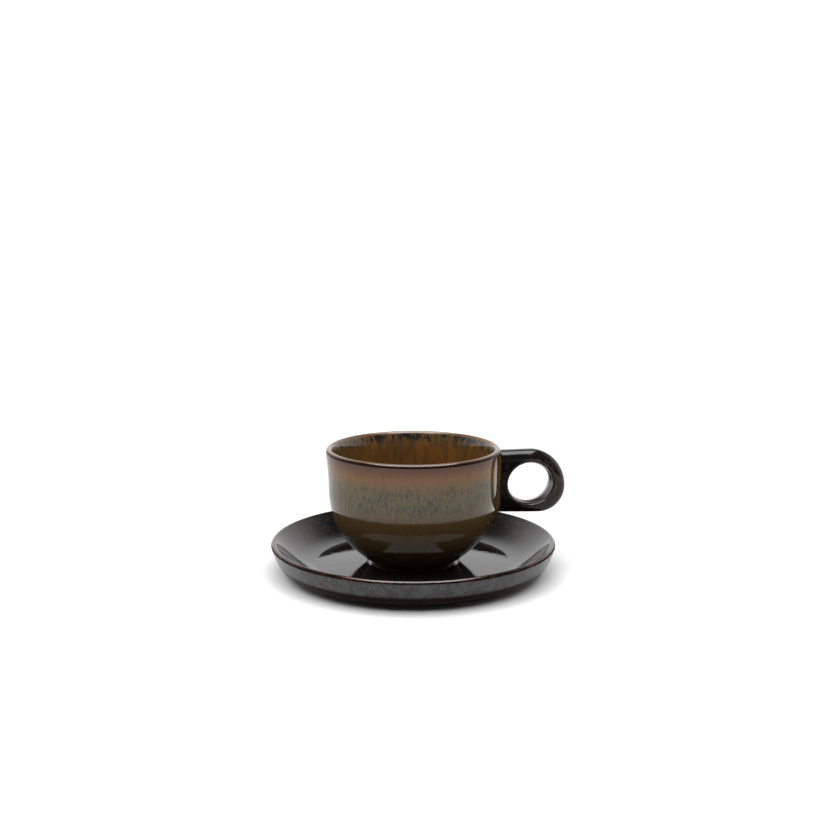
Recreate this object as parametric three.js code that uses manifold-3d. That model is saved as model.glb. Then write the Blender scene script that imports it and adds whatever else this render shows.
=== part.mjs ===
// Coffee cup with saucer: a stoneware bowl cup with a luted ring handle, standing on a shallow dish.
// Millimetres, +Z up. The origin is on the common axis of cup and saucer, at table level.
// The handle points along +X.
import * as THREE from "three";
import { mergeVertices } from "three/addons/utils/BufferGeometryUtils.js";
import Module from "manifold-3d";

// Saucer
const saucerDiameter = 140;
const saucerHeight = 16;
const saucerWellHeight = 4.4;
const saucerWellDiameter = 96.8;
const saucerSwellHeight = 5.2;
const saucerSeatHeight = 3.8;
const saucerSeatDiameter = 46.8;
const saucerSeatStep = 1.8;
const saucerRimThickness = 3;
const saucerRimRounding = 1.4;
const saucerFootDiameter = 108;
const saucerFootWidth = 5;
const saucerFootHeight = 0.8;
const saucerFootTaper = 0.5;
const saucerRecessDepth = 1.5;
const saucerFootPull = 12;
const saucerFootRise = THREE.MathUtils.degToRad(2);
const saucerRimPull = 7;
const saucerRimLean = THREE.MathUtils.degToRad(20);
const dishRimPull = 12;
const dishRimRise = THREE.MathUtils.degToRad(46);
const dishWellPull = 7;
const dishWellRise = THREE.MathUtils.degToRad(9.5);

// Cup, measured from the saucer's seat
const cupDiameter = 85.4;
const cupHeight = 58.4;
const cupWall = 3.8;
const cupFloor = 4.4;
const cupFloorFlat = 18;
const shoulderHeight = 39.2;
const lipOverhang = 1.2;
const lipOuterRounding = 2.2;
const lipInnerRounding = 1.4;
const cupFootDiameter = 41;
const cupFootWidth = 4;
const cupFootHeight = 1.9;
const cupFootTaper = 0.3;
const bowlShoulderPull = 22.8;
const bowlFootPull = 11.3;
const bowlFootAngle = THREE.MathUtils.degToRad(36.2);
const floorPull = 17;

// Ring handle, measured from the cup's axis and foot
const handleThickness = 12;
const handleEdgeRounding = 4.3;
const handleTop = 55;
const handleBottom = 22.8;
const handleRootRise = 1.2;
const handleReach = 77.3;
const handleTipHeight = 35.9;
const handleUpperRound = 18;
const handleLowerRound = 12.8;
const ringTopWidth = 5.8;
const ringEndWidth = 7;
const ringBottomWidth = 5.3;
const ringRootWidth = 5.9;
const holeEdgeRounding = 1.5;

// The seam of slip between the handle and the wall
const lutingGap = 0.3;

// Faceting
const saucerFacets = 72;
const cupFacets = 64;
const ringFacets = 20;
const holeFacets = 40;
const edgeFacets = 4;
const bendSteps = 9;
const roundingSteps = 4;

const clayGlaze = { metalness: 0 };
const saucerGlaze = new THREE.MeshStandardMaterial({ ...clayGlaze, color: 0x2a2727, roughness: 0.18 });
const cupGlaze = new THREE.MeshStandardMaterial({ ...clayGlaze, color: 0x5a4630, roughness: 0.14 });
const handleGlaze = new THREE.MeshStandardMaterial({ ...clayGlaze, color: 0x1d1613, roughness: 0.16 });

// A half section in radius and height, traced point by point along lines, arcs and bends.
class Section {
  constructor(radius, height) {
    this.points = [new THREE.Vector2(radius, height)];
  }

  line(radius, height) {
    this.points.push(new THREE.Vector2(radius, height));
    return this;
  }

  arc(centre, radii, fromDegrees, toDegrees, steps) {
    const from = THREE.MathUtils.degToRad(fromDegrees);
    const to = THREE.MathUtils.degToRad(toDegrees);
    const curve = new THREE.EllipseCurve(...centre, ...radii, from, to, to < from);
    this.points.push(...curve.getPoints(steps).slice(1));
    return this;
  }

  bend(firstPull, lastPull, end, steps) {
    const ends = [firstPull, lastPull, end].map((point) => new THREE.Vector2(...point));
    const curve = new THREE.CubicBezierCurve(this.points.at(-1), ...ends);
    this.points.push(...curve.getPoints(steps).slice(1));
    return this;
  }
}

// A point moved by a length along a direction that rises by an angle from the level.
function pulled(point, length, rise) {
  return [point[0] + length * Math.cos(rise), point[1] + length * Math.sin(rise)];
}

// A section turned about the upright axis.
function turned(section, facets) {
  return new THREE.LatheGeometry(section.points, facets).rotateX(Math.PI / 2);
}

const wasm = await Module();
wasm.setup();

function solidOf(geometry) {
  const bare = geometry.clone();
  bare.deleteAttribute("normal");
  bare.deleteAttribute("uv");
  const merged = mergeVertices(bare, 1e-4);
  const vertProperties = merged.getAttribute("position").array;
  const triVerts = new Uint32Array(merged.index.array);
  return new wasm.Manifold(new wasm.Mesh({ numProp: 3, vertProperties, triVerts }));
}

function geometryOf(solid) {
  const { vertProperties, triVerts } = solid.getMesh();
  const geometry = new THREE.BufferGeometry();
  geometry.setAttribute("position", new THREE.BufferAttribute(vertProperties, 3));
  geometry.setIndex(new THREE.BufferAttribute(triVerts, 1));
  geometry.computeVertexNormals();
  return geometry;
}

// Saucer: foot ring round a recess, side bending up to a rounded rim, dish running down from the rim to the
// well, which swells a little towards a shallow seat for the foot of the cup.
function saucerSection() {
  const radius = saucerDiameter / 2;
  const footOuter = saucerFootDiameter / 2;
  const footInner = footOuter - saucerFootWidth;
  const wellEdge = [saucerWellDiameter / 2, saucerWellHeight];
  const seatRadius = saucerSeatDiameter / 2;
  const seatMiddle = seatRadius - saucerSeatStep / 2;
  const rimTop = radius - saucerRimThickness / 2;
  const rimBase = saucerHeight - saucerRimRounding;
  const sideStart = [footOuter + saucerFootTaper, saucerFootHeight];
  const rimRadii = [saucerRimThickness / 2, saucerRimRounding];
  const rimLeft = Math.atan2(rimRadii[1], rimRadii[0] * Math.tan(dishRimRise));
  const section = new Section(0, saucerRecessDepth)
    .line(footInner - saucerFootTaper, saucerRecessDepth)
    .line(footInner, 0)
    .line(footOuter, 0)
    .line(...sideStart)
    .bend(
      pulled(sideStart, saucerFootPull, saucerFootRise),
      pulled([radius, rimBase], -saucerRimPull, Math.PI / 2 - saucerRimLean),
      [radius, rimBase],
      bendSteps,
    )
    .arc([rimTop, rimBase], rimRadii, 0, 180 - THREE.MathUtils.radToDeg(rimLeft), 2 * roundingSteps);
  const dishTop = section.points.at(-1).toArray();
  return section
    .bend(
      pulled(dishTop, -dishRimPull, dishRimRise),
      pulled(wellEdge, dishWellPull, dishWellRise),
      wellEdge,
      bendSteps,
    )
    .line(seatRadius, saucerSwellHeight)
    .bend(
      [seatMiddle, saucerSwellHeight],
      [seatMiddle, saucerSeatHeight],
      [seatRadius - saucerSeatStep, saucerSeatHeight],
      roundingSteps,
    )
    .line(0, saucerSeatHeight);
}

// Where the outside of the cup meets its foot ring, its upright wall and its lip.
const lipRadius = cupDiameter / 2;
const wallRadius = lipRadius - lipOverhang;
const lipTopRadius = lipRadius - lipOuterRounding;
const footRadius = cupFootDiameter / 2;

// The outside of the cup from foot to lip top, let out all round by a clearance.
function cupOutside(clearance) {
  const bowlStart = [footRadius + cupFootTaper + clearance, cupFootHeight];
  const shoulder = [wallRadius + clearance, shoulderHeight];
  const lipBase = [lipRadius + clearance, cupHeight - lipOuterRounding];
  const nearFoot = pulled(bowlStart, bowlFootPull, bowlFootAngle);
  const nearShoulder = [shoulder[0], shoulder[1] - bowlShoulderPull];
  const flareStart = [shoulder[0], (shoulder[1] + lipBase[1]) / 2];
  const flareEnd = [lipBase[0], lipBase[1] - lipOuterRounding];
  return new Section(0, 0)
    .line(footRadius + clearance, 0)
    .line(...bowlStart)
    .bend(nearFoot, nearShoulder, shoulder, bendSteps)
    .bend(flareStart, flareEnd, lipBase, roundingSteps)
    .arc(
      [lipTopRadius, lipBase[1]],
      [lipOuterRounding + clearance, lipOuterRounding + clearance],
      0,
      90,
      roundingSteps,
    );
}

// Cup body: the outside, over the lip and down the inside to the floor, with a recess in the foot ring.
function cupSection() {
  const footInner = footRadius - cupFootWidth;
  const recess = cupFootHeight;
  const floorHeight = recess + cupFloor;
  const floorRadius = cupFloorFlat / 2;
  const insideRadius = wallRadius - cupWall;
  const section = new Section(0, recess);
  section.line(footInner - cupFootTaper, recess).line(footInner, 0);
  section.points.push(...cupOutside(0).points.slice(1));
  return section
    .arc(
      [lipTopRadius, cupHeight - lipInnerRounding],
      [lipInnerRounding, lipInnerRounding],
      90,
      180,
      roundingSteps,
    )
    .line(insideRadius, shoulderHeight)
    .bend(
      [insideRadius, shoulderHeight - bowlShoulderPull],
      [floorRadius + floorPull, floorHeight],
      [floorRadius, floorHeight],
      bendSteps,
    )
    .line(0, floorHeight);
}

// Ring handle: a flat plate with straight edges and a round end that droops a little below its root.
// It starts inside the wall, which then trims its root.
function handlePlate() {
  const rootRadius = wallRadius - cupWall;
  const lowerCentre = handleReach - handleLowerRound;
  const upperCentre = handleReach - handleUpperRound;
  const lowerRadii = [handleLowerRound, handleTipHeight - handleBottom];
  const upperRadii = [handleUpperRound, handleTop - handleTipHeight];
  const side = new THREE.Shape();
  side.moveTo(rootRadius, handleBottom + handleRootRise);
  side.lineTo(lowerCentre, handleBottom);
  side.absellipse(lowerCentre, handleTipHeight, ...lowerRadii, -Math.PI / 2, 0, false);
  side.absellipse(upperCentre, handleTipHeight, ...upperRadii, 0, Math.PI / 2, false);
  side.lineTo(rootRadius, handleTop);
  side.closePath();
  const flatDepth = handleThickness - 2 * handleEdgeRounding;
  const plate = new THREE.ExtrudeGeometry(side, {
    depth: flatDepth,
    curveSegments: ringFacets,
    bevelThickness: handleEdgeRounding,
    bevelSize: handleEdgeRounding,
    bevelOffset: -handleEdgeRounding,
    bevelSegments: edgeFacets,
  });
  return plate.translate(0, 0, -flatDepth / 2).rotateX(Math.PI / 2);
}

// The finger hole's own shape: a slightly oval bore that leaves the ring its width on all four sides,
// and opens in a rounding at both faces of the plate.
function fingerHole() {
  const holeTop = handleTop - ringTopWidth;
  const holeBottom = handleBottom + ringBottomWidth;
  const holeEnd = handleReach - ringEndWidth;
  const holeRoot = wallRadius + ringRootWidth;
  const bore = (holeTop - holeBottom) / 2;
  const stretch = (holeEnd - holeRoot) / (holeTop - holeBottom);
  const mouth = bore + holeEdgeRounding;
  const face = handleThickness / 2;
  const past = face + holeEdgeRounding;
  const roundingCentre = face - holeEdgeRounding;
  const radii = [holeEdgeRounding, holeEdgeRounding];
  const section = new Section(0, -past)
    .line(mouth, -past)
    .line(mouth, -face)
    .arc([mouth, -roundingCentre], radii, 270, 180, roundingSteps)
    .line(bore, roundingCentre)
    .arc([mouth, roundingCentre], radii, 180, 90, roundingSteps)
    .line(mouth, past)
    .line(0, past);
  const cutter = new THREE.LatheGeometry(section.points, holeFacets);
  return cutter.scale(stretch, 1, 1).translate((holeRoot + holeEnd) / 2, 0, (holeTop + holeBottom) / 2);
}

function ringHandle() {
  const wall = cupOutside(lutingGap);
  wall.line(0, wall.points.at(-1).y);
  const cut = solidOf(handlePlate()).subtract(solidOf(fingerHole()));
  return geometryOf(cut.subtract(solidOf(turned(wall, cupFacets))));
}

function named(name, geometry, material) {
  const mesh = new THREE.Mesh(geometry, material);
  mesh.name = name;
  return mesh;
}

const cup = new THREE.Group();
cup.position.z = saucerSeatHeight;
cup.add(named("cup_body", turned(cupSection(), cupFacets), cupGlaze));
cup.add(named("ring_handle", ringHandle(), handleGlaze));

const cupWithSaucer = new THREE.Group();
cupWithSaucer.add(named("saucer", turned(saucerSection(), saucerFacets), saucerGlaze));
cupWithSaucer.add(cup);

export default cupWithSaucer;
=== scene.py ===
import math

import bpy
import numpy as np
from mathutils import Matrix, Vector


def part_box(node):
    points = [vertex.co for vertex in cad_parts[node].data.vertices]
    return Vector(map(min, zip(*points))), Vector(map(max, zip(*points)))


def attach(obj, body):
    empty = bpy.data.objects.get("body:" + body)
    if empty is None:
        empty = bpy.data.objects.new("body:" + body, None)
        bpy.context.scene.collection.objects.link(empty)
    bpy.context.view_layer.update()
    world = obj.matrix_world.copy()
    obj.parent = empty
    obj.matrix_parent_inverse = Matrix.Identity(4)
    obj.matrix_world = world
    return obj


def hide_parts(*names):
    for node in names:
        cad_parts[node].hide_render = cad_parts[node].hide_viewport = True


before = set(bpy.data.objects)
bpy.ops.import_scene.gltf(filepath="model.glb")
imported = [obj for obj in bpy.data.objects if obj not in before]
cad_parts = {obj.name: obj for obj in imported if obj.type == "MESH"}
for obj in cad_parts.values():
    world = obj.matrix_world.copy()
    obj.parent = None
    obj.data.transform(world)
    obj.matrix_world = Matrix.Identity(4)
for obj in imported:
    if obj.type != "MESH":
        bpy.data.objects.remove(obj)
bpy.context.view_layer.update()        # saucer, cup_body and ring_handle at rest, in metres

mm = 0.001
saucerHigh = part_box("saucer")[1]
cupLow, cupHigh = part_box("cup_body")
handleLow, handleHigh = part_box("ring_handle")
cupFoot = cupLow.z / mm          # height of the cup's foot over the table
print("frame loaded, cup stands", round(cupFoot, 2), "mm over the table")


# half sections, as (radius, height) in mm

def addArc(section, centre, radii, startDegrees, endDegrees, steps):
    for step in range(1, steps + 1):
        angle = math.radians(startDegrees + (endDegrees - startDegrees) * step / steps)
        section.append((centre[0] + radii[0] * math.cos(angle), centre[1] + radii[1] * math.sin(angle)))


def addBend(section, pullOut, pullIn, end, steps):
    corners = (section[-1], pullOut, pullIn, end)
    for step in range(1, steps + 1):
        t = step / steps
        shares = ((1 - t) ** 3, 3 * t * (1 - t) ** 2, 3 * t * t * (1 - t), t ** 3)
        radius = sum(share * corner[0] for share, corner in zip(shares, corners))
        height = sum(share * corner[1] for share, corner in zip(shares, corners))
        section.append((radius, height))


def addLine(section, end, steps):
    start = section[-1]
    for step in range(1, steps + 1):
        t = step / steps
        section.append((start[0] + (end[0] - start[0]) * t, start[1] + (end[1] - start[1]) * t))


def pulled(point, length, riseDegrees):
    rise = math.radians(riseDegrees)
    return (point[0] + length * math.cos(rise), point[1] + length * math.sin(rise))


def footSection(size, base, recess):        # from the axis over the foot ring to where the side starts
    outer = size["footDiameter"] / 2
    inner = outer - size["footWidth"]
    taper = size["footTaper"]
    edge = size["footRounding"]
    section = [(0, recess)]
    addLine(section, (inner - taper - edge, recess), size["recessSteps"])
    addBend(section, (inner - taper, recess), (inner - edge, base), (inner + edge, base), steps=6)
    addLine(section, (outer - edge, base), size["footSteps"])
    addBend(section, (outer, base), (outer, base + edge), (outer + taper, base + size["footHeight"]), steps=6)
    return section


def turnSection(name, section, turnSteps):
    bpy.ops.object.select_all(action="DESELECT")
    bpy.ops.mesh.primitive_plane_add(size=mm)
    piece = bpy.context.object
    piece.name = name
    piece.data.name = name
    bpy.ops.object.mode_set(mode="EDIT")
    bpy.ops.mesh.select_all(action="SELECT")
    bpy.ops.mesh.merge(type="CENTER")          # one vertex to draw the section with
    last = (0, 0)
    for number, point in enumerate(section):
        move = ((point[0] - last[0]) * mm, 0, (point[1] - last[1]) * mm)
        if number == 0:
            bpy.ops.transform.translate(value=move)
        else:
            bpy.ops.mesh.extrude_vertices_move(TRANSFORM_OT_translate={"value": move})
        last = point
    bpy.ops.mesh.select_all(action="SELECT")
    bpy.ops.mesh.spin(steps=turnSteps, angle=2 * math.pi, center=(0, 0, 0), axis=(0, 0, 1))
    bpy.ops.mesh.select_all(action="SELECT")
    weldGap = 0.002        # mm, joins the ends of the turn and the points on the axis
    bpy.ops.mesh.remove_doubles(threshold=weldGap * mm)
    bpy.ops.mesh.normals_make_consistent(inside=False)
    bpy.ops.object.mode_set(mode="OBJECT")
    bpy.ops.object.shade_smooth()
    return piece


def markRun(piece, section, top):        # mm along the section from its top, minus outside, plus inside
    points = np.array(section)
    steps = np.hypot(*np.diff(points, axis=0).T)
    run = np.concatenate([[0], np.cumsum(steps)])
    run -= run[top]
    places = np.zeros(len(piece.data.vertices) * 3)
    piece.data.vertices.foreach_get("co", places)
    places = places.reshape(-1, 3) / mm
    radius = np.hypot(places[:, 0], places[:, 1])
    away = (radius[:, None] - points[:, 0]) ** 2 + (places[:, 2, None] - points[:, 1]) ** 2
    mark = piece.data.attributes.new("glazeRun", "FLOAT", "POINT")
    mark.data.foreach_set("value", run[away.argmin(axis=1)].astype(np.float32))


# material nodes

glazeIor = 1.5
bareClay = {"colour": (0.16, 0.115, 0.085), "bareTo": 0.3, "glazedFrom": 0.55}        # mm over the foot
white = (1, 1, 1, 1)


def addNode(tree, kind, inputs=None, **settings):
    made = tree.nodes.new(kind)
    for key, value in settings.items():
        setattr(made, key, value)
    for key, value in (inputs or {}).items():
        if isinstance(value, bpy.types.NodeSocket):
            tree.links.new(value, made.inputs[key])
        else:
            made.inputs[key].default_value = value
    return made


def calculate(tree, operation, *values):
    return addNode(tree, "ShaderNodeMath", dict(enumerate(values)), operation=operation).outputs[0]


def times(tree, a, b):
    return calculate(tree, "MULTIPLY", a, b)


def plus(tree, a, b):
    return calculate(tree, "ADD", a, b)


def lengthOf(tree, vector):
    return addNode(tree, "ShaderNodeVectorMath", {0: vector}, operation="LENGTH").outputs["Value"]


def between(tree, value, low, high, lowTo=0.0, highTo=1.0, smooth=True):
    return addNode(tree, "ShaderNodeMapRange", {
        "Value": value, "From Min": low, "From Max": high, "To Min": lowTo, "To Max": highTo},
        interpolation_type="SMOOTHSTEP" if smooth else "LINEAR").outputs[0]


def blend(tree, share, without, full):        # from one value to another by a share of 0 to 1
    return between(tree, share, 0.0, 1.0, without, full)


def spread(tree, value, limits, reach):        # a noise made to sway by its reach to both sides
    return between(tree, value, *limits, -reach, reach, smooth=False)


def zone(tree, value, rising, falling):        # 1 inside the zone, each limit is (starts, is full)
    return times(tree, between(tree, value, *rising), between(tree, value, *falling))


def objectPlace(tree, upShare=1):        # an upShare under 1 draws a pattern out downwards
    place = addNode(tree, "ShaderNodeTexCoord").outputs["Object"]
    return addNode(tree, "ShaderNodeMapping", {"Vector": place, "Scale": (1, 1, upShare)}).outputs[0]


def noise(tree, grain, upShare=1, detail=2, roughness=0.5):        # grain in mm
    return addNode(tree, "ShaderNodeTexNoise", {
        "Vector": objectPlace(tree, upShare), "Scale": 1 / (grain * mm),
        "Detail": detail, "Roughness": roughness}).outputs["Fac"]


def glazeRun(tree):
    return addNode(tree, "ShaderNodeAttribute", attribute_name="glazeRun").outputs["Fac"]


def tint(tree, share, below, above):        # inputs 6 and 7 and output 2 are the node's colours
    mix = addNode(tree, "ShaderNodeMix", data_type="RGBA")
    for socket, value in ((mix.inputs[0], share), (mix.inputs[6], below), (mix.inputs[7], above)):
        if isinstance(value, tuple):
            socket.default_value = (*value, 1)
        else:
            tree.links.new(value, socket)
    return mix.outputs[2]


def addLayer(tree, below, layer, pattern, where=None):        # a colour that comes in with a noise
    share = between(tree, pattern, *layer["limits"], 0.0, layer["most"])
    if where is not None:
        share = times(tree, where, share)
    return tint(tree, share, below, layer["colour"])


def colourRun(tree, run, stops):        # stops are (run in mm, colour), from low to high
    low, high = stops[0][0], stops[-1][0]
    ramp = addNode(tree, "ShaderNodeValToRGB", {"Fac": between(tree, run, low, high, smooth=False)})
    elements = ramp.color_ramp.elements
    while len(elements) < len(stops):
        elements.new(0.5)        # moved to its place below
    for element, (place, colour) in zip(elements, stops):
        element.position = (place - low) / (high - low)
        element.color = (*colour, 1)
    return ramp.outputs["Color"]


def wipeFoot(tree, colour, footHeight):        # clay wiped bare where a foot ring stands
    height = addNode(tree, "ShaderNodeSeparateXYZ", {0: objectPlace(tree)}).outputs[2]
    glazedFrom = (footHeight + bareClay["glazedFrom"]) * mm
    bareTo = (footHeight + bareClay["bareTo"]) * mm
    return tint(tree, between(tree, height, glazedFrom, bareTo), colour, bareClay["colour"])


def makeGlaze(name, drawGlaze, look):        # drawGlaze gives the shader's inputs and its waves
    material = bpy.data.materials.new(name)
    material.use_nodes = True
    tree = material.node_tree
    shader = tree.nodes["Principled BSDF"]
    shader.inputs["IOR"].default_value = glazeIor
    drawn = drawGlaze(tree, look)
    bumps = {"Height": drawn.pop("Waves"), "Strength": 1.0, "Distance": look["waveDepth"] * mm}
    drawn["Normal"] = addNode(tree, "ShaderNodeBump", bumps).outputs[0]
    for key, value in drawn.items():
        tree.links.new(value, shader.inputs[key])
    return material


# saucer

saucer = {
    # shape, in mm and degrees
    "wellHeight": 4.4, "wellDiameter": 96.8, "wellLand": 0.5, "swellHeight": 5.2,
    "seatDiameter": 46.8, "seatStep": 1.8,
    "rimThickness": 3, "rimRounding": 1.6, "rimPull": 7, "rimLean": 20,
    "dishPull": 12, "dishRise": 46, "wellPull": 7, "wellRise": 9.5,
    "footDiameter": 108, "footWidth": 5, "footHeight": 0.8, "footTaper": 0.5, "footRounding": 0.35,
    "footPull": 12, "footRise": 2, "recess": 1.5,
    "recessSteps": 8, "footSteps": 4, "turnSteps": 256,
    # noises in the glaze, grains and depth in mm
    "speck": {"grain": 2.2, "detail": 4, "roughness": 0.7},
    "fine": {"grain": 0.8},
    "cloud": {"grain": 3.5, "detail": 3, "roughness": 0.6},
    "patch": {"grain": 9, "detail": 3},
    "wave": {"grain": 9, "detail": 1}, "cloudWave": 0.7, "speckWave": 0.3, "waveDepth": 0.05,
    # colours, and the noise between which they come in
    "black": (0.0085, 0.0080, 0.0080),
    "brown": (0.055, 0.028, 0.019), "brownSpeck": (0.46, 0.62), "brownPatch": (0.34, 0.56),
    "slate": (0.016, 0.0165, 0.018),
    "grey": (0.042, 0.043, 0.044), "greyCloud": (0.38, 0.62),
    "tan": (0.105, 0.098, 0.076), "tanFine": (0.52, 0.72), "tanPatch": (0.45, 0.65),
    "umber": (0.010, 0.005, 0.004),
    "rust": (0.045, 0.016, 0.010), "rustPatch": (0.45, 0.65),
    # zones in mm along the glaze from the rim's top, minus outside
    "dishZone": ((1.0, 3.0), (22.0, 9.0)), "sideFrom": (-1.9, -2.4), "footFrom": (-8.5, -11.0),
    "rimZone": ((-2.3, -1.9), (1.2, 0.6)), "underRimZone": ((-2.35, -2.0), (-1.15, -1.4)),
    "ragged": 0.25, "raggedSpeck": (0.3, 0.7),
    "dishRoughness": 0.03, "sideRoughness": 0.16,
    "gloss": 0.5, "footGloss": 0.03, "underRimGloss": 0.0,
}


def saucerSection(size):
    radius, height = saucerHigh.x / mm, saucerHigh.z / mm
    rimRadii = (size["rimThickness"] / 2, size["rimRounding"])
    rimCentre = (radius - rimRadii[0], height - rimRadii[1])
    sideEnd = (radius, rimCentre[1])
    wellEdge = (size["wellDiameter"] / 2, size["wellHeight"])
    seatEdge = (size["seatDiameter"] / 2, size["swellHeight"])
    seatMiddle = seatEdge[0] - size["seatStep"] / 2
    seatFoot = (seatEdge[0] - size["seatStep"], cupFoot)
    section = footSection(size, 0, size["recess"])
    addBend(section, pulled(section[-1], size["footPull"], size["footRise"]),
            pulled(sideEnd, -size["rimPull"], 90 - size["rimLean"]), sideEnd, steps=28)
    addArc(section, rimCentre, rimRadii, 0, 90, steps=10)
    top = len(section) - 1
    dishSlope = math.tan(math.radians(size["dishRise"]))
    rimLeft = math.degrees(math.atan2(rimRadii[1], rimRadii[0] * dishSlope))        # ends at the dish's slope
    addArc(section, rimCentre, rimRadii, 90, 180 - rimLeft, steps=6)
    addBend(section, pulled(section[-1], -size["dishPull"], size["dishRise"]),
            pulled(wellEdge, size["wellPull"], size["wellRise"]), wellEdge, steps=40)
    addLine(section, (wellEdge[0] - size["wellLand"], wellEdge[1]), steps=1)
    addLine(section, seatEdge, steps=16)
    addBend(section, (seatMiddle, seatEdge[1]), (seatMiddle, cupFoot), seatFoot, steps=10)
    addLine(section, (0, cupFoot), steps=8)
    return section, top


def saucerGlaze(tree, look):
    run = glazeRun(tree)
    speck = noise(tree, **look["speck"])
    fine = noise(tree, **look["fine"])
    cloud = noise(tree, **look["cloud"])
    patch = noise(tree, **look["patch"])
    wave = noise(tree, **look["wave"])
    patches = between(tree, patch, *look["brownPatch"])
    mottled = times(tree, between(tree, speck, *look["brownSpeck"]), patches)
    onDish = zone(tree, run, *look["dishZone"])
    dish = tint(tree, times(tree, onDish, mottled), look["black"], look["brown"])
    clouded = tint(tree, between(tree, cloud, *look["greyCloud"]), look["slate"], look["grey"])
    specked = times(tree, between(tree, fine, *look["tanFine"]), between(tree, patch, *look["tanPatch"]))
    side = tint(tree, specked, clouded, look["tan"])
    onSide = between(tree, run, *look["sideFrom"])
    ragged = plus(tree, run, spread(tree, speck, look["raggedSpeck"], look["ragged"]))
    rim = tint(tree, between(tree, patch, *look["rustPatch"]), look["umber"], look["rust"])
    rimmed = tint(tree, zone(tree, ragged, *look["rimZone"]), tint(tree, onSide, dish, side), rim)
    # partly dark umber glaze, partly painted shade: the lower side turns umber and loses its gloss where it
    # curves under towards the table in the saucer's shadow
    atFoot = between(tree, ragged, *look["footFrom"])
    glazed = tint(tree, atFoot, rimmed, look["umber"])
    gloss = blend(tree, atFoot, look["gloss"], look["footGloss"])
    underRim = zone(tree, ragged, *look["underRimZone"])
    clouds = plus(tree, wave, times(tree, cloud, look["cloudWave"]))
    return {
        "Base Color": wipeFoot(tree, glazed, 0),
        "Roughness": blend(tree, onSide, look["dishRoughness"], look["sideRoughness"]),
        "Specular IOR Level": blend(tree, underRim, gloss, look["underRimGloss"]),
        "Waves": plus(tree, clouds, times(tree, speck, look["speckWave"])),
    }


section, top = saucerSection(saucer)
saucerDish = turnSection("saucerDish", section, saucer["turnSteps"])
markRun(saucerDish, section, top)
saucerDish.data.materials.append(makeGlaze("saucerGlaze", saucerGlaze, saucer))
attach(saucerDish, "saucer")
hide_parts("saucer")
print("saucer turned,", len(saucerDish.data.polygons), "faces")


# cup

cup = {
    # shape, in mm and degrees
    "wall": 3.8, "floor": 4.4, "floorFlat": 18, "floorPull": 17,
    "shoulderHeight": 39.2, "lipOverhang": 1.2, "lipOuter": 1.8, "lipInner": 3.2, "lipFlare": 14,
    "footDiameter": 41, "footWidth": 4, "footHeight": 1.9, "footTaper": 0.3, "footRounding": 0.45,
    "shoulderPull": 22.8, "footPull": 11.3, "footAngle": 36.2,
    "recessSteps": 6, "footSteps": 3, "turnSteps": 256,
    # noises in the glaze, grains and depth in mm
    "dash": {"grain": 0.40, "upShare": 0.13, "detail": 1},
    "wide": {"grain": 2.4, "upShare": 0.16},
    "smear": {"grain": 2.4, "upShare": 0.5, "detail": 3, "roughness": 0.6},
    "streak": {"grain": 0.9, "upShare": 0.05},
    "cloud": {"grain": 11},
    "wave": {"grain": 6, "upShare": 0.5}, "waveLimits": (0.3, 0.7), "waveDepth": 0.005,
    # colour of the ground by mm from the lip's top, minus outside
    "ground": [
        (-64, (0.064, 0.036, 0.015)),
        (-40, (0.076, 0.043, 0.016)),
        (-30, (0.080, 0.047, 0.017)),
        (-26, (0.118, 0.075, 0.030)),
        (-20, (0.120, 0.092, 0.042)),
        (-14, (0.145, 0.093, 0.037)),
        (-9, (0.190, 0.086, 0.022)),
        (-6, (0.140, 0.052, 0.016)),
        (-4.2, (0.098, 0.032, 0.013)),
        (-2.9, (0.080, 0.026, 0.012)),
        # painted reflection: the stops from -2.5 to -1.4 are dark brown glaze made darker still, standing for
        # the dark room mirrored under the lip's highlight all round the lip
        (-2.5, (0.018, 0.006, 0.004)),
        (-1.4, (0.018, 0.007, 0.005)),
        (-1.05, (0.150, 0.080, 0.042)),
        (0.8, (0.200, 0.115, 0.056)),
        (2.2, (0.170, 0.085, 0.034)),
        (6, (0.170, 0.080, 0.022)),
        (20, (0.185, 0.088, 0.023)),
        (60, (0.110, 0.056, 0.014)),
    ],
    # layers over it, with the noise between which they come in
    "dark": {"colour": (0.030, 0.026, 0.014), "limits": (0.42, 0.68), "most": 0.2},
    "gold": {"colour": (0.250, 0.100, 0.022), "limits": (0.46, 0.62), "most": 0.6},
    "olive": {"colour": (0.060, 0.048, 0.018), "limits": (0.42, 0.66), "most": 0.42},
    "moss": {"colour": (0.046, 0.046, 0.024), "limits": (0.40, 0.58), "most": 0.6},
    "teal": {"colour": (0.008, 0.028, 0.027), "limits": (0.65, 0.74), "most": 0.78},
    "ink": {"colour": (0.011, 0.017, 0.019), "limits": (0.86, 0.98), "most": 1.0},
    "tealCloud": 0.3, "inkCloud": 0.5, "inkAtLip": 0.15,
    # zones in mm from the lip's top
    "insideFrom": (1.2, 3.0), "mossZone": ((1.2, 2.4), (13.0, 4.0)),
    "tealZone": ((-27.0, -23.0), (-11.0, -15.5)), "inkZone": ((1.2, 2.2), (9.0, 2.5)),
    "sway": 1.8, "swayWide": (0.25, 0.75), "swayFrom": (3.5, 10.0),
    # gloss is cut under the lip so that the dark stops paint the room's reflection there
    "lipDarkReflectionZone": ((-2.9, -2.5), (-1.3, -1.55)),
    "roughness": (0.05, 0.09), "gloss": 0.5, "lipGloss": 0.06,
}
lipRadius = cupHigh.x / mm
lipHeight = cupHigh.z / mm
wallRadius = lipRadius - cup["lipOverhang"]


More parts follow.
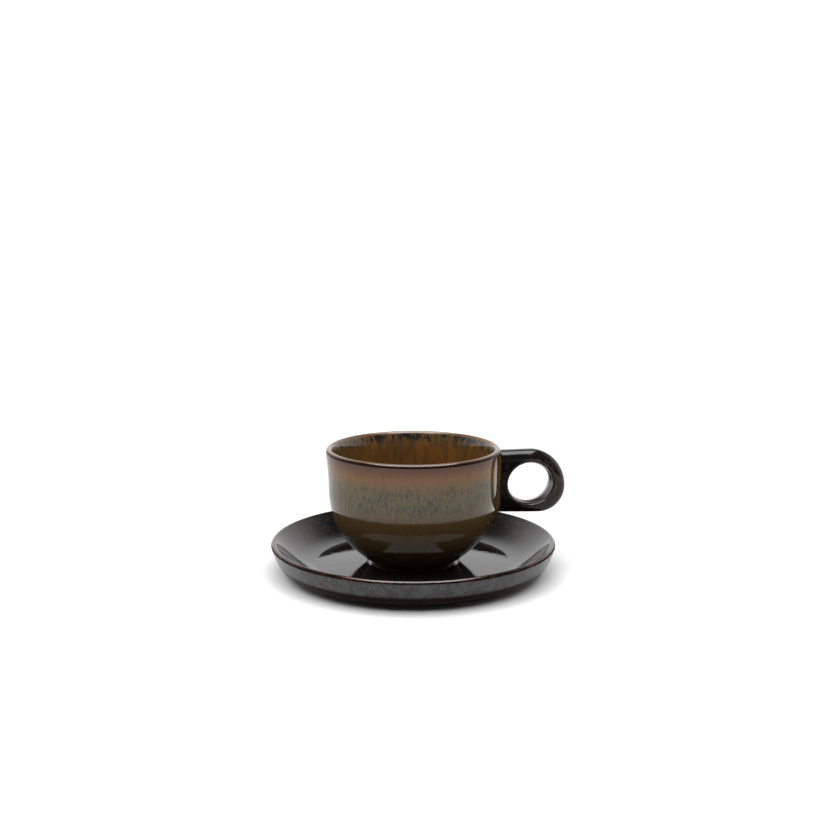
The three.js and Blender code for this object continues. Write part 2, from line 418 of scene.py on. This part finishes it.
def cupSection(size):
    recess = cupFoot + size["footHeight"]
    shoulder = (wallRadius, cupFoot + size["shoulderHeight"])
    lipBase = (lipRadius, lipHeight - size["lipOuter"])
    lipTop = lipRadius - size["lipOuter"]
    innerBase = lipHeight - size["lipFlare"]
    inside = (wallRadius - size["wall"], shoulder[1])
    floorEdge = (size["floorFlat"] / 2, recess + size["floor"])
    section = footSection(size, cupFoot, recess)
    addBend(section, pulled(section[-1], size["footPull"], size["footAngle"]),
            (shoulder[0], shoulder[1] - size["shoulderPull"]), shoulder, steps=48)
    addBend(section, (shoulder[0], (shoulder[1] + lipBase[1]) / 2),
            (lipBase[0], lipBase[1] - size["lipOuter"]), lipBase, steps=20)
    addArc(section, (lipTop, lipBase[1]), (size["lipOuter"], size["lipOuter"]), 0, 90, steps=12)
    top = len(section) - 1
    addArc(section, (lipTop, innerBase), (size["lipInner"], size["lipFlare"]), 90, 180, steps=26)
    addLine(section, inside, steps=6)
    addBend(section, (inside[0], inside[1] - size["shoulderPull"]),
            (floorEdge[0] + size["floorPull"], floorEdge[1]), floorEdge, steps=40)
    addLine(section, (0, floorEdge[1]), steps=8)
    return section, top


def cupColour(tree, look):
    dash = noise(tree, **look["dash"])
    wide = noise(tree, **look["wide"])
    smear = noise(tree, **look["smear"])
    streak = noise(tree, **look["streak"])
    cloud = noise(tree, **look["cloud"])
    straight = glazeRun(tree)
    fromLip = calculate(tree, "ABSOLUTE", straight)
    sway = spread(tree, wide, look["swayWide"], look["sway"])
    run = plus(tree, straight, times(tree, sway, between(tree, fromLip, *look["swayFrom"])))
    inside = between(tree, straight, *look["insideFrom"])
    atMoss = zone(tree, straight, *look["mossZone"])
    atTeal = zone(tree, run, *look["tealZone"])
    atInk = zone(tree, straight, *look["inkZone"])
    thinDrips = plus(tree, dash, times(tree, cloud, look["tealCloud"]))
    blotches = plus(tree, smear, times(tree, cloud, look["inkCloud"]))
    thickDrips = plus(tree, blotches, times(tree, atInk, look["inkAtLip"]))
    colour = colourRun(tree, run, look["ground"])
    colour = addLayer(tree, colour, look["dark"], streak)
    colour = addLayer(tree, colour, look["gold"], cloud, inside)
    colour = addLayer(tree, colour, look["olive"], wide, inside)
    colour = addLayer(tree, colour, look["moss"], smear, atMoss)
    colour = addLayer(tree, colour, look["teal"], thinDrips, atTeal)
    return addLayer(tree, colour, look["ink"], thickDrips, atInk)


def cupGlaze(tree, look):
    waves = noise(tree, **look["wave"])
    # painted reflection: the dull, dark zone under the lip stands for the mirrored dark room
    atLipDarkReflection = zone(tree, glazeRun(tree), *look["lipDarkReflectionZone"])
    return {
        "Base Color": wipeFoot(tree, cupColour(tree, look), cupFoot),
        "Roughness": between(tree, waves, *look["waveLimits"], *look["roughness"]),
        "Specular IOR Level": blend(tree, atLipDarkReflection, look["gloss"], look["lipGloss"]),
        "Waves": waves,
    }


section, top = cupSection(cup)
cupBowl = turnSection("cupBowl", section, cup["turnSteps"])
markRun(cupBowl, section, top)
cupBowl.data.materials.append(makeGlaze("cupGlaze", cupGlaze, cup))
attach(cupBowl, "cup")
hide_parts("cup_body")
print("cup turned,", len(cupBowl.data.polygons), "faces")


# ring handle

handle = {
    # shape, in mm
    "tipHeight": 35.9, "rootRise": 1.2, "upperRound": 18, "lowerRound": 12.8,
    "ringTop": 6.6, "ringEnd": 7.2, "ringBottom": 5.5, "ringRoot": 5.9, "faceLeast": 0.1,
    "edgeRounding": 4.8, "edgeDepth": 5, "edgeSquareness": 0.45,
    "holeRounding": 1.8, "holeDepth": 3.4, "boreWaist": 0.4, "boreOpen": 0.5,
    "crown": 0.9, "crownEnd": 1.1,
    "rootTop": 39.8, "rootBottom": 37.6, "rootFillet": 1.6,
    "roundSteps": 192, "boreSteps": 8, "holeEdgeSteps": 8, "faceSteps": 22, "edgeSteps": 12, "backSteps": 6,
    # noises in the glaze, grains and depth in mm
    "speck": {"grain": 1.6, "detail": 3, "roughness": 0.6},
    "patch": {"grain": 8},
    "wave": {"grain": 6}, "waveLimits": (0.3, 0.7), "waveDepth": 0.08,
    # colours, the noise between which they come in, and where, in mm from the axis and from the wall
    "black": (0.0050, 0.0045, 0.0045),
    "brown": (0.032, 0.017, 0.012), "brownSpeck": (0.40, 0.62), "brownPatch": (0.45, 0.7),
    "brownFrom": (52, 70), "brownMore": (-0.08, 0.25),
    "tan": (0.075, 0.050, 0.040), "tanSpeck": (0.25, 0.6),
    "seam": (0.10, 0.05, 0.018), "seamFrom": (2.2, 1.4), "seamRagged": 0.4, "seamPatch": (0.3, 0.7),
    # zones round the hole, in hole radii
    "tanZone": ((1.01, 1.04), (1.16, 1.10)), "boreFrom": (1.05, 1.0),
    # duller near the wall, in mm from the axis and below the top
    "dullFrom": (62, 50), "dullBelow": (3.4, 5),
    "roughness": (0.06, 0.1), "gloss": 0.3, "dullGloss": 0.04, "boreGloss": 1.0,
}
handleTop = handleHigh.z / mm
handleBottom = handleLow.z / mm
handleReach = handleHigh.x / mm
halfThick = handleHigh.y / mm
tipHeight = cupFoot + handle["tipHeight"]
holeLow = Vector((wallRadius + handle["ringRoot"], handleBottom + handle["ringBottom"]))
holeHigh = Vector((handleReach - handle["ringEnd"], handleTop - handle["ringTop"]))
holeCentre = (holeLow + holeHigh) / 2
holeHalf = (holeHigh - holeLow) / 2


def insideOutline(x, z):        # the plate seen from its side, down into the wall
    upperCentre = handleReach - handle["upperRound"]
    lowerCentre = handleReach - handle["lowerRound"]
    share = (z - handleBottom) / (handleTop - handleBottom)
    root = handle["rootBottom"] + (handle["rootTop"] - handle["rootBottom"]) * share
    rise = handle["rootRise"] * (lowerCentre - x) / (lowerCentre - root)
    fromTip = z - tipHeight
    if x < root or z > handleTop or z < handleBottom + max(0, rise):
        return False
    if fromTip >= 0 and x > upperCentre:
        return math.hypot((x - upperCentre) / handle["upperRound"], fromTip / (handleTop - tipHeight)) <= 1
    if fromTip < 0 and x > lowerCentre:
        return math.hypot((x - lowerCentre) / handle["lowerRound"], fromTip / (tipHeight - handleBottom)) <= 1
    return True


def outlinePoint(angle):        # halving the way from the hole's centre outwards
    along = Vector((math.cos(angle), math.sin(angle)))
    near, far = 0, 2 * handleReach
    halvings = 40
    for _ in range(halvings):
        middle = (near + far) / 2
        if insideOutline(*(holeCentre + along * middle)):
            near = middle
        else:
            far = middle
    return holeCentre + along * near


def ringSection(angle):        # closed loop of (x, y, z) in mm round the ring at one angle about the hole
    along = Vector((math.cos(angle), math.sin(angle)))
    nudge = 0.01        # radians, to find the direction of the outline
    edgeLine = outlinePoint(angle + nudge) - outlinePoint(angle - nudge)
    edgeNormal = Vector((edgeLine.y, -edgeLine.x)).normalized()
    squareness = max(handle["edgeSquareness"], abs(edgeNormal.dot(along)))
    boreReach = 1 / math.hypot(along.x / holeHalf.x, along.y / holeHalf.y)
    inner = holeCentre + along * boreReach
    width = (outlinePoint(angle) - inner).length
    holeEdge = handle["holeRounding"]
    outerEdge = min(handle["edgeRounding"] / squareness, width - holeEdge - handle["faceLeast"])
    faceWidth = width - outerEdge - holeEdge
    depth = handle["edgeDepth"]
    boreHalf = halfThick - handle["holeDepth"]
    edgeHalf = halfThick - depth
    mouth = handle["boreOpen"] - handle["boreWaist"]
    loop = []

    def put(reach, y):        # the faces are a little rounder towards the top and bottom
        place = inner + along * reach
        high = min(handle["crownEnd"], abs(place.y - holeCentre.y) / holeHalf.y)
        loop.append((place.x, y * (1 - handle["crown"] / halfThick * high ** 2), place.y))

    flank = []        # (reach, y) from the bore over the face to the outer edge
    for step in range(handle["holeEdgeSteps"]):
        turn = math.pi / 2 * step / handle["holeEdgeSteps"]
        flank.append((holeEdge - (holeEdge - mouth) * math.cos(turn),
                      boreHalf + handle["holeDepth"] * math.sin(turn)))
    for step in range(handle["faceSteps"]):
        flank.append((holeEdge + faceWidth * step / handle["faceSteps"], halfThick))
    for step in range(handle["edgeSteps"]):
        turn = math.pi / 2 * step / handle["edgeSteps"]
        flank.append((width - outerEdge * (1 - math.sin(turn)), halfThick - depth * (1 - math.cos(turn))))

    for step in range(handle["boreSteps"]):
        across = 1 - 2 * step / handle["boreSteps"]
        put(handle["boreOpen"] * across ** 2 - handle["boreWaist"], boreHalf * across)
    for reach, y in flank:
        put(reach, -y)
    for step in range(handle["backSteps"] + 1):
        put(width, -edgeHalf + 2 * edgeHalf * step / handle["backSteps"])
    for reach, y in reversed(flank[1:]):
        put(reach, y)
    return loop


def flareRoot(piece, places):        # the seam of slip, drawn out on to the wall
    fillet = handle["rootFillet"]
    leastAside = 0.05        # a face that looks straight out is pushed less
    facing = np.zeros(places.size)
    piece.data.vertices.foreach_get("normal", facing)
    facing = facing.reshape(-1, 3)
    outward = places * (1, 1, 0)
    fromAxis = np.linalg.norm(outward, axis=1)
    outward /= fromAxis[:, None]
    aside = facing - outward * (facing * outward).sum(axis=1)[:, None]
    aside /= np.maximum(np.linalg.norm(aside, axis=1), leastAside)[:, None]
    inFillet = np.clip(fillet - (fromAxis - wallRadius), 0, fillet)
    push = fillet - np.sqrt(fillet ** 2 - inFillet ** 2)
    piece.data.vertices.foreach_set("co", ((places + aside * push[:, None]) * mm).ravel())
    piece.data.update()


def makeHandle():        # a torus lends its grid of faces
    roundSteps = handle["roundSteps"]
    loops = [ringSection(2 * math.pi * (step + 0.5) / roundSteps) for step in range(roundSteps)]
    bpy.ops.object.select_all(action="DESELECT")
    bpy.ops.mesh.primitive_torus_add(major_segments=roundSteps, minor_segments=len(loops[0]))
    piece = bpy.context.object
    piece.name = "fingerRing"
    piece.data.name = "fingerRing"
    places = np.array(loops).reshape(-1, 3)
    piece.data.vertices.foreach_set("co", (places * mm).ravel())
    bpy.ops.object.mode_set(mode="EDIT")
    bpy.ops.mesh.select_all(action="SELECT")
    bpy.ops.mesh.normals_make_consistent(inside=False)
    bpy.ops.object.mode_set(mode="OBJECT")
    bpy.ops.object.shade_smooth()
    flareRoot(piece, places)
    return piece


def handleGlaze(tree, look):
    place = objectPlace(tree)
    across, back, up = addNode(tree, "ShaderNodeSeparateXYZ", {0: place}).outputs
    speck = noise(tree, **look["speck"])
    patch = noise(tree, **look["patch"])
    waves = noise(tree, **look["wave"])
    brownFrom, brownTo = look["brownFrom"]
    outer = between(tree, across, brownFrom * mm, brownTo * mm, *look["brownMore"])
    patches = between(tree, plus(tree, patch, outer), *look["brownPatch"])
    mottled = times(tree, between(tree, speck, *look["brownSpeck"]), patches)
    body = tint(tree, mottled, look["black"], look["brown"])
    holePlace = addNode(tree, "ShaderNodeMapping", {
        "Vector": place, "Scale": (1 / (holeHalf.x * mm), 0, 1 / (holeHalf.y * mm)),
        "Location": (-holeCentre.x / holeHalf.x, 0, -holeCentre.y / holeHalf.y)}).outputs[0]
    fromHole = lengthOf(tree, holePlace)
    atHole = zone(tree, fromHole, *look["tanZone"])
    broken = tint(tree, times(tree, atHole, between(tree, speck, *look["tanSpeck"])), body, look["tan"])
    fromAxis = lengthOf(tree, addNode(tree, "ShaderNodeCombineXYZ", {0: across, 1: back}).outputs[0])
    ragged = plus(tree, fromAxis, spread(tree, patch, look["seamPatch"], look["seamRagged"] * mm))
    seamEnd, seamFull = look["seamFrom"]
    atRoot = between(tree, ragged, (wallRadius + seamEnd) * mm, (wallRadius + seamFull) * mm)
    dullFrom, dullTo = look["dullFrom"]
    dullTop, dullFull = look["dullBelow"]
    lowRoot = times(tree, between(tree, across, dullFrom * mm, dullTo * mm),
                    between(tree, up, (handleTop - dullTop) * mm, (handleTop - dullFull) * mm))
    gloss = blend(tree, lowRoot, look["gloss"], look["dullGloss"])
    inBore = between(tree, fromHole, *look["boreFrom"])
    return {
        "Base Color": tint(tree, atRoot, broken, look["seam"]),
        "Roughness": between(tree, waves, *look["waveLimits"], *look["roughness"]),
        "Specular IOR Level": blend(tree, inBore, gloss, look["boreGloss"]),
        "Waves": waves,
    }


fingerRing = makeHandle()
fingerRing.data.materials.append(makeGlaze("handleGlaze", handleGlaze, handle))
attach(fingerRing, "cup")
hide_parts("ring_handle")
print("handle shaped,", len(fingerRing.data.polygons), "faces")


# camera, at the photograph's place

photoView = {
    "imageSize": 830, "sensor": 36, "focalPixels": 1212, "clipStart": 10,
    "distance": 600, "elevation": 14.7, "turn": 11.4, "aimHeight": 30, "aimPixel": (413.2, 510.64),
}


def fromFront(x, y, z):        # mm across, back and up as seen by the camera, to metres
    turn = math.radians(photoView["turn"])
    return Vector((x * math.cos(turn) + y * math.sin(turn), y * math.cos(turn) - x * math.sin(turn), z)) * mm


def addCamera(view):
    middle = view["imageSize"] / 2
    elevation = math.radians(view["elevation"])
    pitch = elevation - math.atan((view["aimPixel"][1] - middle) / view["focalPixels"])
    aside = (middle - view["aimPixel"][0]) / view["focalPixels"] * view["distance"]
    back = -view["distance"] * math.cos(elevation)
    up = view["aimHeight"] + view["distance"] * math.sin(elevation)
    bpy.ops.object.camera_add(location=fromFront(aside, back, up),
                              rotation=(math.pi / 2 - pitch, 0, -math.radians(view["turn"])))
    camera = bpy.context.object
    camera.data.sensor_width = view["sensor"]
    camera.data.lens = view["focalPixels"] / view["imageSize"] * view["sensor"]
    camera.data.clip_start = view["clipStart"] * mm
    bpy.context.scene.camera = camera


addCamera(photoView)


# studio: white table, overhead soft light, white wall behind and beside, dim room in front

studio = {
    # table in metres, with its gap under the foot in mm
    "tableSize": 40, "tableGap": 0.1, "tableColour": 0.92, "tableSeen": 1.15,
    "whiteFrom": 0.2, "whiteTo": 0.4,
    # lamp, and the panel that the glaze mirrors, in mm
    "softHeight": 800, "softAside": -130, "softFront": 830, "softBack": 275,
    "softWidth": 1600, "softLight": 2.35,
    "panelWidth": 780, "panelFront": 500, "panelGlow": 8.5,
    # walls: they fade between heights in degrees, and end at cosines of the turn from straight behind
    "wallGlow": 1.25, "wallFadeFrom": 24, "wallFadeTo": 52, "wallGap": 0.06,
    "wallEndFrom": -0.35, "wallEndTo": 0.15, "wallFill": 0.5, "roomGlow": 0.1,
}
studioTurn = (0, 0, -math.radians(photoView["turn"]))


def newPlain(name):
    material = bpy.data.materials.new(name)
    material.use_nodes = True
    material.node_tree.nodes.clear()
    return material, material.node_tree


def addTable():
    bpy.ops.object.select_all(action="DESELECT")
    bpy.ops.mesh.primitive_plane_add(size=studio["tableSize"], location=(0, 0, -studio["tableGap"] * mm))
    table = bpy.context.object
    table.name = "table"
    material, tree = newPlain("tableWhite")
    away = lengthOf(tree, addNode(tree, "ShaderNodeTexCoord").outputs["Object"])
    far = between(tree, away, studio["whiteFrom"], studio["whiteTo"])
    seen = addNode(tree, "ShaderNodeLightPath").outputs["Is Camera Ray"]
    matt = blend(tree, seen, studio["tableColour"], studio["tableSeen"])
    paper = addNode(tree, "ShaderNodeBsdfDiffuse", {"Color": matt})
    glow = addNode(tree, "ShaderNodeEmission", {"Color": white, "Strength": studio["wallGlow"]})
    mixed = addNode(tree, "ShaderNodeMixShader", {0: far, 1: paper.outputs[0], 2: glow.outputs[0]})
    addNode(tree, "ShaderNodeOutputMaterial", {"Surface": mixed.outputs[0]})
    table.data.materials.append(material)


def addSoftLight():        # lights the part, and isn't mirrored by it
    back = (studio["softBack"] - studio["softFront"]) / 2
    middle = fromFront(studio["softAside"], back, studio["softHeight"])
    bpy.ops.object.light_add(type="AREA", location=middle, rotation=studioTurn)
    soft = bpy.context.object
    soft.name = "overheadSoftLight"
    soft.data.shape = "RECTANGLE"
    soft.data.size = studio["softWidth"] * mm
    soft.data.size_y = (studio["softFront"] + studio["softBack"]) * mm
    soft.data.energy = studio["softLight"] * math.pi * soft.data.size * soft.data.size_y
    soft.visible_camera = False
    soft.visible_glossy = False


def addSoftPanel():        # what the glaze mirrors in the lamp's place, without lighting anything
    depth = studio["softBack"] + studio["panelFront"]
    middle = fromFront(0, (studio["softBack"] - studio["panelFront"]) / 2, studio["softHeight"])
    bpy.ops.object.select_all(action="DESELECT")
    bpy.ops.mesh.primitive_plane_add(size=mm, location=middle, rotation=studioTurn)
    panel = bpy.context.object
    panel.name = "softPanel"
    bpy.ops.transform.resize(value=(studio["panelWidth"], depth, 1), orient_type="LOCAL")
    material, tree = newPlain("softPanelGlow")
    glow = addNode(tree, "ShaderNodeEmission", {"Color": white, "Strength": studio["panelGlow"]})
    addNode(tree, "ShaderNodeOutputMaterial", {"Surface": glow.outputs[0]})
    panel.data.materials.append(material)
    panel.visible_camera = False
    panel.visible_diffuse = False
    panel.visible_shadow = False


def addSurroundings():        # white to the camera, and walls that light less than they show in the glaze
    world = bpy.data.worlds.new("studio")
    bpy.context.scene.world = world
    world.use_nodes = True
    tree = world.node_tree
    tree.nodes.clear()
    direction = addNode(tree, "ShaderNodeTexCoord").outputs["Generated"]
    height = addNode(tree, "ShaderNodeSeparateXYZ", {0: direction}).outputs[2]
    rise = calculate(tree, "ARCSINE", height)
    level = calculate(tree, "COSINE", rise)
    backward = fromFront(0, 1, 0).normalized()
    behind = addNode(tree, "ShaderNodeVectorMath", {0: direction, 1: backward}, operation="DOT_PRODUCT")
    facing = calculate(tree, "DIVIDE", behind.outputs["Value"], level)
    wall = between(tree, rise, math.radians(studio["wallFadeFrom"]), math.radians(studio["wallFadeTo"]),
                   studio["wallGlow"], studio["wallGap"])
    around = between(tree, facing, studio["wallEndFrom"], studio["wallEndTo"],
                     studio["roomGlow"], wall, smooth=False)
    path = addNode(tree, "ShaderNodeLightPath").outputs
    fill = blend(tree, path["Is Diffuse Ray"], 1.0, studio["wallFill"])
    glow = calculate(tree, "MAXIMUM", times(tree, around, fill), path["Is Camera Ray"])
    background = addNode(tree, "ShaderNodeBackground", {"Color": white, "Strength": glow})
    addNode(tree, "ShaderNodeOutputWorld", {"Surface": background.outputs[0]})


addTable()
addSoftLight()
addSoftPanel()
addSurroundings()
bpy.context.scene.view_settings.view_transform = "Standard"
print("studio set")
